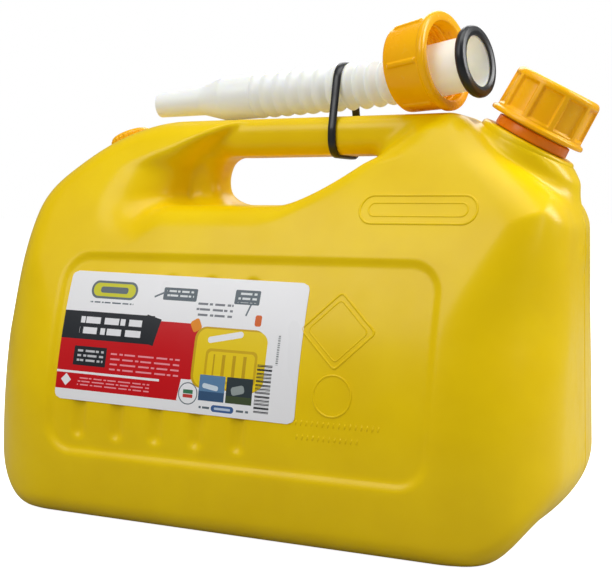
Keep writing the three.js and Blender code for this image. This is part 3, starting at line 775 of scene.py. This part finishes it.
def bellows_points():
    """The outer skin ring by ring from the nozzle, then the inner skin back again."""
    centres, ahead, run = hose_path(HOSE_RINGS)
    wave = 0.5 + 0.5 * np.cos(2 * math.pi * (run - (FIRST_CREST_X - centres[0, 0])) / PITCH)
    valley = VALLEY + VALLEY_RISE * (1 - ramp(centres[:, 0], 10, 40))
    outer = valley + (CREST - valley) * wave ** 0.6
    outer = np.where(run < HOSE_MOUTH["length"], np.minimum(outer, HOSE_MOUTH["radius"]), outer)
    across = unit(np.cross(ahead, (0.0, 1.0, 0.0)))
    side = np.cross(ahead, across)
    rays = spokes(around_turn(HOSE_SIDES)[None, :], across[:, None], side[:, None])
    outside = centres[:, None] + outer[:, None, None] * rays
    inside = centres[:, None] + (outer - HOSE_WALL)[:, None, None] * rays
    return np.vstack([outside.reshape(-1, 3), inside[::-1].reshape(-1, 3)])


hose_faces = grid_faces(2 * HOSE_RINGS, HOSE_SIDES, wrap_rows=True)
hose = add_mesh("spout_bellows", bellows_points(), hose_faces, MILKY, body=None)
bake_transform(hose)
dress(hose, "spout_milky", "spout_bellows")

gasket = softened(
    [(15.3, -2.4), (16.6, -3.0), (19.2, -2.6), (20.1, -0.9), (20.1, 0.9), (19.2, 2.6), (16.6, 3.0),
     (14.2, 2.3), (14.2, 1.1), (18.4, 1.1), (18.4, -1.1), (15.3, -1.1)],
    [0.8, 1, 1.4, 1, 1, 1.4, 1, 0.8, 0.2, 0.2, 0.2, 0.2])
dress(lathe("spout_gasket", gasket, FLANGE, base_axis, RUBBER), "rubber_black", "spout_gasket")


def nut_ribs(theta, r, h):
    """Short raised ribs along the nut, with rounded ends."""
    gap = from_rib(theta, NUT_RIBS, NUT_PHASE, 25.5)
    rib = (1 - ramp(gap, *NUT_RIB["side"])) * between(h, NUT_RIB, "rise")
    return r + np.where((r > 24.6) & (h < 23.6), rib, 0)


NUT_BORE = 22.4
nut_profile = (
    [(20, 0.3), (20.4, 0), (23.4, 0), (24.3, 0.3), (24.8, 0.9)] + wall_rows((25.0, 2.0), (26.4, 23.0), 34)
    + [(26.7, 23.7), (27.4, 24.1), (27.9, 24.7), (28, 25.4), (28, 27.0), (27.7, 27.7), (27.1, 28.1)]
    + [(23.2, 28.1), (22.6, 27.9), (NUT_BORE, 27.3), (NUT_BORE, 4.0), (22.0, 2.9), (21.0, 2.5)]
    + [(20.3, 2.5), (20, 2.2)])
nut_at = np.array((75.3, -4.1, 262.1))
nut = lathe("spout_nut", nut_profile, nut_at, nut_axis, ORANGE, "nut", 360, nut_ribs)
dress(nut, "cap_orange", "spout_nut")
nut_thread = thread_bead("spout_nut_thread", nut_at, nut_axis, NUT_BORE, -1.2, 9.5, 3.4, ORANGE, "nut")
dress(nut_thread, "cap_orange")


def convex_hull(points):
    """Corners of the convex outline, anticlockwise."""
    ordered = sorted(map(tuple, points))

    def chain(run):
        out = []
        for p in run:
            while len(out) > 1:
                (ax, ay), (bx, by) = out[-2:]
                if (bx - ax) * (p[1] - ay) - (by - ay) * (p[0] - ax) > 0:
                    break
                out.pop()
            out.append(p)
        return out[:-1]

    return np.array(chain(ordered) + chain(ordered[::-1]))


BAND_X = 36.4
BAND_GAP = 0.3
BAND_SPOUT_RADIUS = 13.3
BAND_STEPS = 180
BAND_RAYS = 240
# Lift off the path and place across the band, round its section
BAND_SECTION = (
    (0, 1.9), (0.4, 2.4), (1.1, 2.4), (1.5, 1.8), (1.6, 0),
    (1.5, -1.8), (1.1, -2.4), (0.4, -2.4), (0, -1.9),
)


def bar_outline(directions, middle_z):
    """Where rays from the middle of the grip bar leave it, found by halving."""
    near, far = np.zeros(len(directions)), np.full(len(directions), 40.0)
    for _ in range(24):
        reach = (near + far) / 2
        y, z = (reach[:, None] * directions).T
        in_bar = can_field(BAND_X, y, middle_z + z) < BAND_GAP
        near, far = np.where(in_bar, reach, near), np.where(in_bar, far, reach)
    return near[:, None] * directions + (0, middle_z)


def band_loop():
    """The band's path in y and z, pulled tight round the grip bar and the spout, and its outward side."""
    angle = around_turn(BAND_RAYS)
    directions = np.column_stack([np.cos(angle), np.sin(angle)])
    bar = bar_outline(directions, (TOP_Z + BAR_BOTTOM) / 2)
    spout_z = TIP[2] + (BAND_X - TIP[0]) * spout_axis[2] / spout_axis[0]
    corners = convex_hull(np.vstack([bar, BAND_SPOUT_RADIUS * directions + (0, spout_z)]))
    closed = np.vstack([corners, corners[:1]])
    run = run_length(closed)
    at = np.linspace(0, run[-1], BAND_STEPS, endpoint=False)
    path = np.column_stack([np.interp(at, run, closed[:, i]) for i in (0, 1)])
    ahead = np.roll(path, -1, 0) - np.roll(path, 1, 0)
    return path, unit(np.column_stack([ahead[:, 1], -ahead[:, 0]]))


loop_path, loop_out = band_loop()
band_rows = [
    np.column_stack([np.full(BAND_STEPS, BAND_X + across), loop_path + lift * loop_out])
    for lift, across in BAND_SECTION
]
band_points = np.stack(band_rows, 1).reshape(-1, 3)
band_faces = grid_faces(BAND_STEPS, len(BAND_SECTION), wrap_rows=True)
band = add_mesh("retaining_band", band_points, band_faces, RUBBER)
dress(band, "rubber_black", "retaining_band")


# Raised marks on the label face and the neck end
MARK_SINK = 0.1
MARK_FLAT = 0.65
MARK_X = 65.0
DIAMOND_Z = 117.5
CIRCLE_Z = 84.0
TICK = {"pitch": 3.1, "half": 1.5, "slant": 0.6}
# Height, first and last place of each row of ticks
TICK_ROWS = ((69.0, 42, 93), (61.5, 46, 83))


def face_ridge(corners, radius=0.7, closed=True, spacing=1.5):
    """A low rounded ridge along a path on the label face."""
    points = []
    ends = zip(corners, corners[1:] + corners[:1]) if closed else zip(corners[:-1], corners[1:])
    for (ax, az), (bx, bz) in ends:
        steps = max(2, int(math.hypot(bx - ax, bz - az) / spacing))
        points += [(ax + (bx - ax) * i / steps, az + (bz - az) * i / steps) for i in range(steps)]
    if not closed:
        points.append(corners[-1])
    x, z = np.array(points).T
    y = MARK_SINK - half_width(z) + face_relief(x, z)
    return bead(np.column_stack([x, y, z]), radius, (0, -1, 0), closed, MARK_FLAT)


def sweep(x, z, radius, first, last, count):
    """Points round an arc from one angle to another, in degrees."""
    angles = np.radians(np.linspace(first, last, count))
    return [(x + radius * math.cos(t), z + radius * math.sin(t)) for t in angles]


def circle(x, z, radius):
    return sweep(x, z, radius, 0, 360, 49)[:-1]


def pill(left, right, bottom, top):
    radius = (top - bottom) / 2
    middle = (top + bottom) / 2
    right_end = sweep(right - radius, middle, radius, -90, 90, 17)
    return right_end + sweep(left + radius, middle, radius, 90, 270, 17)


def diamond(x, z, reach_x, reach_z):
    corners = [(x, z + reach_z), (x + reach_x, z), (x, z - reach_z), (x - reach_x, z)]
    return softened(corners, 2.5).tolist()


def tick(x, z):
    ends = [(x, z - TICK["half"]), (x + TICK["slant"], z + TICK["half"])]
    return face_ridge(ends, 0.55, closed=False, spacing=0.8)


marks = [
    face_ridge(diamond(MARK_X, DIAMOND_Z, 21.2, 20.0)),
    face_ridge(diamond(MARK_X, DIAMOND_Z, 17.2, 16.2), 0.5),
    face_ridge(circle(MARK_X, CIRCLE_Z, 10.7)),
    face_ridge(pill(68, 133, 174, 189), 0.8),
    face_ridge(pill(73, 128, 178, 185), 0.6),
]
for row_z, first, last in TICK_ROWS:
    marks += [tick(x, row_z) for x in np.arange(first, last, TICK["pitch"])]
dress(beads("moulded_marks", marks, YELLOW), "can_yellow")


SEAM_FROM_X = 184.0
SEAM_SINK = 0.15
SEAM_FLAT = 0.55


def end_ridge(heights, y, radius):
    """A ridge that runs up the neck end at one y."""
    points = np.column_stack([np.full(len(heights), SEAM_FROM_X), np.full(len(heights), y), heights])
    points[:, 0] -= side_outline(points[:, 0], points[:, 2], abs(y), 1)
    points = to_surface(points, 4, 6.0)
    normal = unit(field_gradient(points))
    return bead(points - SEAM_SINK * normal, radius, normal, flat=SEAM_FLAT)


seam = [end_ridge(np.linspace(34, 178, 90), 0.0, 0.8)]
seam += [end_ridge(np.linspace(156, 163, 8), y, 0.6) for y in (-5.0, 5.0)]
dress(beads("mould_seam", seam, YELLOW), "can_yellow")


# Label
LABEL = {
    "x": -32.3, "z": 106.2, "width": 155.0, "height": 74.0, "turn": 1.1,
    "radius": 4.0, "gap": 0.05, "thick": 0.3, "columns": 125, "rows": 61,
}


def label_points(u, v, lift):
    """Points of the label sheet; u and v run right and down from its top left corner, 0 to 1."""
    turn = math.radians(LABEL["turn"])
    dx, dz = (u - 0.5) * LABEL["width"], (0.5 - v) * LABEL["height"]
    x = LABEL["x"] + dx * math.cos(turn) + dz * math.sin(turn)
    z = LABEL["z"] - dx * math.sin(turn) + dz * math.cos(turn)
    return np.stack([x, -(half_width(z) - PANEL["depth"]) - lift, z], -1)


def label_grid():
    """Places on the sheet, row by row, drawn in towards the middle at its round corners."""
    v, u = np.meshgrid(
        np.linspace(0, 1, LABEL["rows"]), np.linspace(0, 1, LABEL["columns"]), indexing="ij")
    from_edge = np.minimum(v, 1 - v) * LABEL["height"]
    short = np.maximum(LABEL["radius"] - from_edge, 0)
    draw = LABEL["radius"] - np.sqrt(LABEL["radius"] ** 2 - short ** 2)
    return 0.5 + (u - 0.5) * (1 - 2 * draw / LABEL["width"]), v


def label_faces():
    """Front, back and rim of the sheet; the back's points follow the front's."""
    rows, columns = LABEL["rows"], LABEL["columns"]
    index = np.arange(rows * columns).reshape(rows, columns)
    loop = np.concatenate([index[0], index[1:, -1], index[-1, -2::-1], index[-2:0:-1, 0]]).tolist()
    behind = rows * columns
    rim = [(a, b, b + behind, a + behind) for a, b in zip(loop, loop[1:] + loop[:1])]
    sheet = grid_faces(rows, columns, wrap_columns=False)
    return sheet[:, ::-1].tolist() + (sheet + behind).tolist() + rim


class Sheet:
    """Flat colours printed on the label, laid down one over another."""

    def __init__(self, shader, uv, paper):
        self.shader = shader
        self.uv = uv
        self.color = paper
        split = shader.node("ShaderNodeSeparateXYZ", Vector=uv)
        self.right, self.down = split.outputs[0], split.outputs[1]

    def box_mask(self, u0, v0, u1, v1, radius=0.0, turn=0.0):
        """1 inside a rounded box given in label millimetres."""
        s = self.shader
        centre = ((u0 + u1) / 2, (v0 + v1) / 2, 0)
        half_size = ((u1 - u0) / 2 - radius, (v1 - v0) / 2 - radius, 0)
        place = s.vector("SUBTRACT", self.uv, centre)
        if turn:
            rotate = s.node("ShaderNodeVectorRotate", Vector=place, Angle=math.radians(turn))
            rotate.rotation_type = "Z_AXIS"
            place = rotate.outputs[0]
        over = s.vector("MAXIMUM", s.vector("SUBTRACT", s.vector("ABSOLUTE", place), half_size))
        return s.math("LESS_THAN", s.vector("LENGTH", over), max(radius, 0.001))

    def paint(self, mask, color):
        self.color = self.shader.mix(mask, self.color, color)

    def box(self, color, *edges, radius=0.0, turn=0.0):
        self.paint(self.box_mask(*edges, radius=radius, turn=turn), color)

    def dashes(self, color, edges, period, share, rate):
        """Rows of thin dashes of uneven length; rate says how often a row breaks."""
        s = self.shader
        place = s.math("DIVIDE", s.math("SUBTRACT", self.down, edges[1]), period)
        row = s.math("LESS_THAN", s.math("FRACT", place), share)
        mask = s.math("MULTIPLY", self.box_mask(*edges), row)
        shift = s.math("MULTIPLY", s.math("FLOOR", place), 2.3)
        wave = s.math("SINE", s.math("ADD", s.math("MULTIPLY", self.right, rate), shift))
        slow = s.math("SINE", s.math("MULTIPLY", self.right, rate * 0.37))
        mask = s.math("MULTIPLY", mask, s.math("GREATER_THAN", s.math("ADD", wave, slow), -0.9))
        self.paint(mask, color)

    def bars(self, color, edges, rate):
        """Level bars of uneven width, stacked one over another."""
        s = self.shader
        a = s.math("SINE", s.math("MULTIPLY", self.down, rate))
        b = s.math("SINE", s.math("MULTIPLY", self.down, rate * 2.7))
        mask = s.math("MULTIPLY", self.box_mask(*edges), s.math("GREATER_THAN", s.math("ADD", a, b), 0.0))
        self.paint(mask, color)


def label_print():
    """The label's layout in millimetres, right and down from its top left corner."""
    shader = Shader("label_print", (0.9, 0.9, 0.9), 0.3)
    uv_node = shader.tree.nodes.new("ShaderNodeUVMap")
    uv = shader.vector("MULTIPLY", uv_node.outputs["UV"], (LABEL["width"], -LABEL["height"], 0))
    uv = shader.vector("ADD", uv, (0, LABEL["height"], 0))
    white, black, red = linear(240, 240, 242), linear(30, 34, 40), linear(203, 0, 14)
    grey, pink, yellow = linear(96, 108, 116), linear(240, 150, 160), linear(238, 206, 10)
    shade, sky, dark = linear(205, 165, 4), linear(92, 132, 170), linear(44, 56, 60)
    slate, pale = linear(86, 98, 106), linear(220, 224, 226)
    sheet = Sheet(shader, uv, white)
    sheet.box(red, -1, 25.5, 88, 68, radius=0.5)
    sheet.box(white, 86, 20, 110, 70, turn=-9)
    sheet.box(red, 70, 25.5, 93, 56, radius=4)
    sheet.box(black, -1, 23.0, 62, 39.0)
    sheet.box(black, 55, 23.3, 65, 38.7, turn=-13)
    sheet.dashes(linear(235, 235, 238), (12, 26.0, 54, 36.5), 6.0, 0.62, 1.1)
    sheet.box(black, 10.5, 43, 33, 54, radius=0.6)
    sheet.dashes(linear(200, 200, 204), (13, 45, 31, 52.5), 2.7, 0.45, 1.7)
    sheet.dashes(pink, (36, 45.5, 82, 55.5), 2.9, 0.32, 1.5)
    sheet.box(white, -1, 57.4, 70, 58.7)
    sheet.dashes(pink, (15, 60.8, 64, 65.4), 1.9, 0.38, 1.9)
    sheet.box(white, 4.5, 60.2, 9.5, 65.2, turn=45)
    sheet.box(grey, 15.5, 5.0, 47.5, 15.2, radius=5.0)
    sheet.box(linear(208, 205, 40), 17.0, 6.3, 46.0, 13.9, radius=3.7)
    sheet.box(grey, 22, 8.3, 41, 11.9, radius=1.5)
    sheet.dashes(grey, (16, 17.0, 46, 18.4), 1.6, 0.5, 2.6)
    sheet.box(slate, 65, 6.6, 87, 13.6, radius=0.8)
    sheet.dashes(pale, (67, 8.0, 85, 12.6), 2.4, 0.45, 2.2)
    sheet.box(slate, 111, 5.6, 126.5, 13.4, radius=0.8)
    sheet.dashes(pale, (113, 7.0, 124.5, 12.4), 2.6, 0.45, 2.2)
    sheet.box(grey, 59, 10.4, 66, 11.4, turn=24)
    sheet.box(grey, 120, 13.0, 121, 19.5, turn=-20)
    sheet.dashes(linear(120, 124, 130), (88, 13.8, 111, 22), 3.0, 0.4, 1.7)
    sheet.box(shade, 90, 26.5, 134, 60, radius=7)
    sheet.box(yellow, 91.5, 27.5, 135, 59, radius=6)
    sheet.box(white, 98, 29.8, 120, 33.2, radius=1.6, turn=12)
    sheet.box(linear(232, 140, 20), 86.5, 23, 92.5, 29.5, radius=1.5, turn=30)
    sheet.box(linear(214, 96, 20), 125.5, 18.5, 129.5, 24.5, radius=1.2)
    sheet.box(linear(210, 172, 6), 98, 38, 130, 56.5, radius=3)
    sheet.box(yellow, 99.5, 39.5, 128.5, 55, radius=2.4)
    sheet.box(linear(200, 162, 6), 103, 41, 127, 53.5)
    for flute in range(4):
        sheet.box(yellow, 104 + 6.5 * flute, 41, 108.5 + 6.5 * flute, 54)
    sheet.box(sky, 96, 52.5, 112, 66.5, radius=0.4)
    sheet.box(linear(208, 222, 232), 98, 57.5, 108, 60.2, radius=1.2, turn=-8)
    sheet.box(linear(52, 84, 120), 96, 61.4, 112, 66.5)
    sheet.box(dark, 113, 52.5, 129, 66.5, radius=0.4)
    sheet.box(linear(150, 160, 158), 116, 57, 124, 61.5, radius=1.5, turn=15)
    sheet.box(linear(64, 78, 48), 113, 62.5, 129, 66.5)
    sheet.box(grey, 83.2, 57.4, 95.4, 69.6, radius=6.0)
    sheet.box(white, 83.8, 58.0, 94.8, 69.0, radius=5.4)
    sheet.box(linear(60, 120, 84), 86.2, 61.4, 92.4, 63.6, radius=0.3)
    sheet.box(linear(196, 60, 50), 86.2, 63.9, 92.4, 65.8, radius=0.3)
    sheet.box(linear(60, 96, 150), 104.5, 68.3, 118.5, 72.0, radius=1.8)
    sheet.box(linear(190, 205, 225), 106.5, 69.5, 116.5, 70.8, radius=0.5)
    sheet.dashes(grey, (96.5, 69.6, 103.5, 70.8), 2, 0.6, 2.4)
    sheet.dashes(grey, (119.5, 69.6, 127.5, 70.8), 2, 0.6, 2.4)
    sheet.bars(black, (130.5, 44, 139.5, 70), 3.1)
    sheet.bars(linear(90, 94, 98), (141, 28, 142.4, 44), 5.3)
    shader.bump((shader.noise(34.0, 2.0), 0.2, 0.0006), (shader.noise(1400.0, 1.0), 0.15, 0.00004))
    gloss = shader.spread(shader.noise(18.0, 2.0), 0.35, 0.7, 0.26, 0.38)
    return shader.set(Base_Color=sheet.color, Roughness=gloss, Specular_IOR_Level=0.3)


def label_sheet():
    """The label as a thin curved sheet, with its layout in a UV map."""
    u, v = label_grid()
    front = label_points(u, v, LABEL["gap"] + LABEL["thick"]).reshape(-1, 3)
    back = label_points(u, v, LABEL["gap"]).reshape(-1, 3)
    sheet = add_mesh("front_label", np.vstack([front, back]), label_faces(), label_print(), sharp=50)
    layer = sheet.data.uv_layers.new(name="UVMap")
    loop_vertex = np.zeros(len(sheet.data.loops), int)
    sheet.data.loops.foreach_get("vertex_index", loop_vertex)
    uv = np.column_stack([u.reshape(-1), 1 - v.reshape(-1)])
    layer.data.foreach_set("uv", np.vstack([uv, uv])[loop_vertex].astype(np.float32).reshape(-1))
    return sheet


dress(label_sheet(), "label", "front_label")


# Studio, laid out round the can as the camera sees it
CAMERA = {"azimuth": 23.82, "down": 4.784, "roll": 0.1, "place": (0.27416, -0.59781, 0.18479)}
LENS_MM = 62.50647
LENS_SHIFT = (0.0017647, 0.0021078)
MIDDLE = Vector((0.0, 0.0, 0.13))
FLOOR_REACH = 9000
right_of = Vector((math.cos(math.radians(CAMERA["azimuth"])), math.sin(math.radians(CAMERA["azimuth"])), 0))
away = Vector((-right_of.y, right_of.x, 0))


def studio_paper():
    """Pale paper, bright to the camera and darker to the can, so that it throws little light up."""
    paper = Shader("studio_paper", (0.8, 0.8, 0.8), 0.8)
    paper.bump((paper.noise(60.0, 3.0), 0.1, 0.0004))
    seen = paper.tree.nodes.new("ShaderNodeLightPath").outputs["Is Camera Ray"]
    glow = paper.math("MULTIPLY", seen, 0.95)
    tone = paper.mix(seen, (0.35, 0.35, 0.35), (0.85, 0.85, 0.85))
    return paper.set(
        Base_Color=tone, Specular_IOR_Level=0.2, Emission_Color=(1, 1, 1, 1), Emission_Strength=glow)


floor_corners = [(x * FLOOR_REACH, y * FLOOR_REACH, 0) for x, y in ((-1, -1), (1, -1), (1, 1), (-1, 1))]
add_mesh("studio_floor", floor_corners, [(0, 1, 2, 3)], studio_paper(), body=None, recalc=False)


def around(azimuth, elevation, distance):
    """A place seen from the can at that azimuth, where 0 is the camera's side and 90 its right."""
    a, e = math.radians(azimuth), math.radians(elevation)
    flat = -away * math.cos(a) + right_of * math.sin(a)
    return MIDDLE + flat * (distance * math.cos(e)) + Vector((0, 0, distance * math.sin(e)))


def area_light(name, place, size, power):
    """A rectangular lamp, in metres and watts, that faces the can."""
    data = bpy.data.lights.new(name, "AREA")
    data.shape = "RECTANGLE"
    data.size, data.size_y = size
    data.energy = power
    lamp = bpy.data.objects.new(name, data)
    bpy.context.collection.objects.link(lamp)
    lamp.location = place
    lamp.rotation_euler = (MIDDLE - place).to_track_quat("-Z", "Y").to_euler()


area_light("key_right", around(88, 30, 1.6), (0.5, 1.0), 17)
area_light("streak", around(50, 24, 1.7), (0.14, 0.8), 2.2)
area_light("fill_left", around(-48, 38, 1.9), (1.0, 1.0), 13.5)
area_light("top", around(8, 80, 1.5), (1.3, 0.9), 12.5)
area_light("back", around(165, 38, 1.8), (1.6, 0.8), 12)


def studio_world():
    """White to the camera, and a dim fill to everything else."""
    world = bpy.data.worlds.new("studio")
    world.use_nodes = True
    nodes, links = world.node_tree.nodes, world.node_tree.links
    background = nodes["Background"]
    background.inputs["Color"].default_value = (1.0, 1.0, 1.0, 1)
    strength = nodes.new("ShaderNodeMapRange")
    strength.inputs["To Min"].default_value = 0.2
    strength.inputs["To Max"].default_value = 1.0
    links.new(nodes.new("ShaderNodeLightPath").outputs["Is Camera Ray"], strength.inputs["Value"])
    links.new(strength.outputs["Result"], background.inputs["Strength"])
    return world


def photo_camera():
    """The camera at the photograph's place and angle."""
    lens = bpy.data.cameras.new("photo_camera")
    lens.sensor_width = 36
    lens.lens = LENS_MM
    lens.shift_x, lens.shift_y = LENS_SHIFT
    camera = bpy.data.objects.new("photo_camera", lens)
    bpy.context.collection.objects.link(camera)
    down = math.radians(CAMERA["down"])
    forward = away * math.cos(down) - Vector((0, 0, math.sin(down)))
    above = right_of.cross(forward)
    turned = Matrix((right_of, above, -forward)).transposed().to_4x4()
    roll = Matrix.Rotation(math.radians(CAMERA["roll"]), 4, "Z")
    camera.matrix_world = Matrix.Translation(CAMERA["place"]) @ turned @ roll
    return camera


bpy.context.scene.world = studio_world()
bpy.context.scene.view_settings.view_transform = "Standard"
bpy.context.scene.camera = photo_camera()
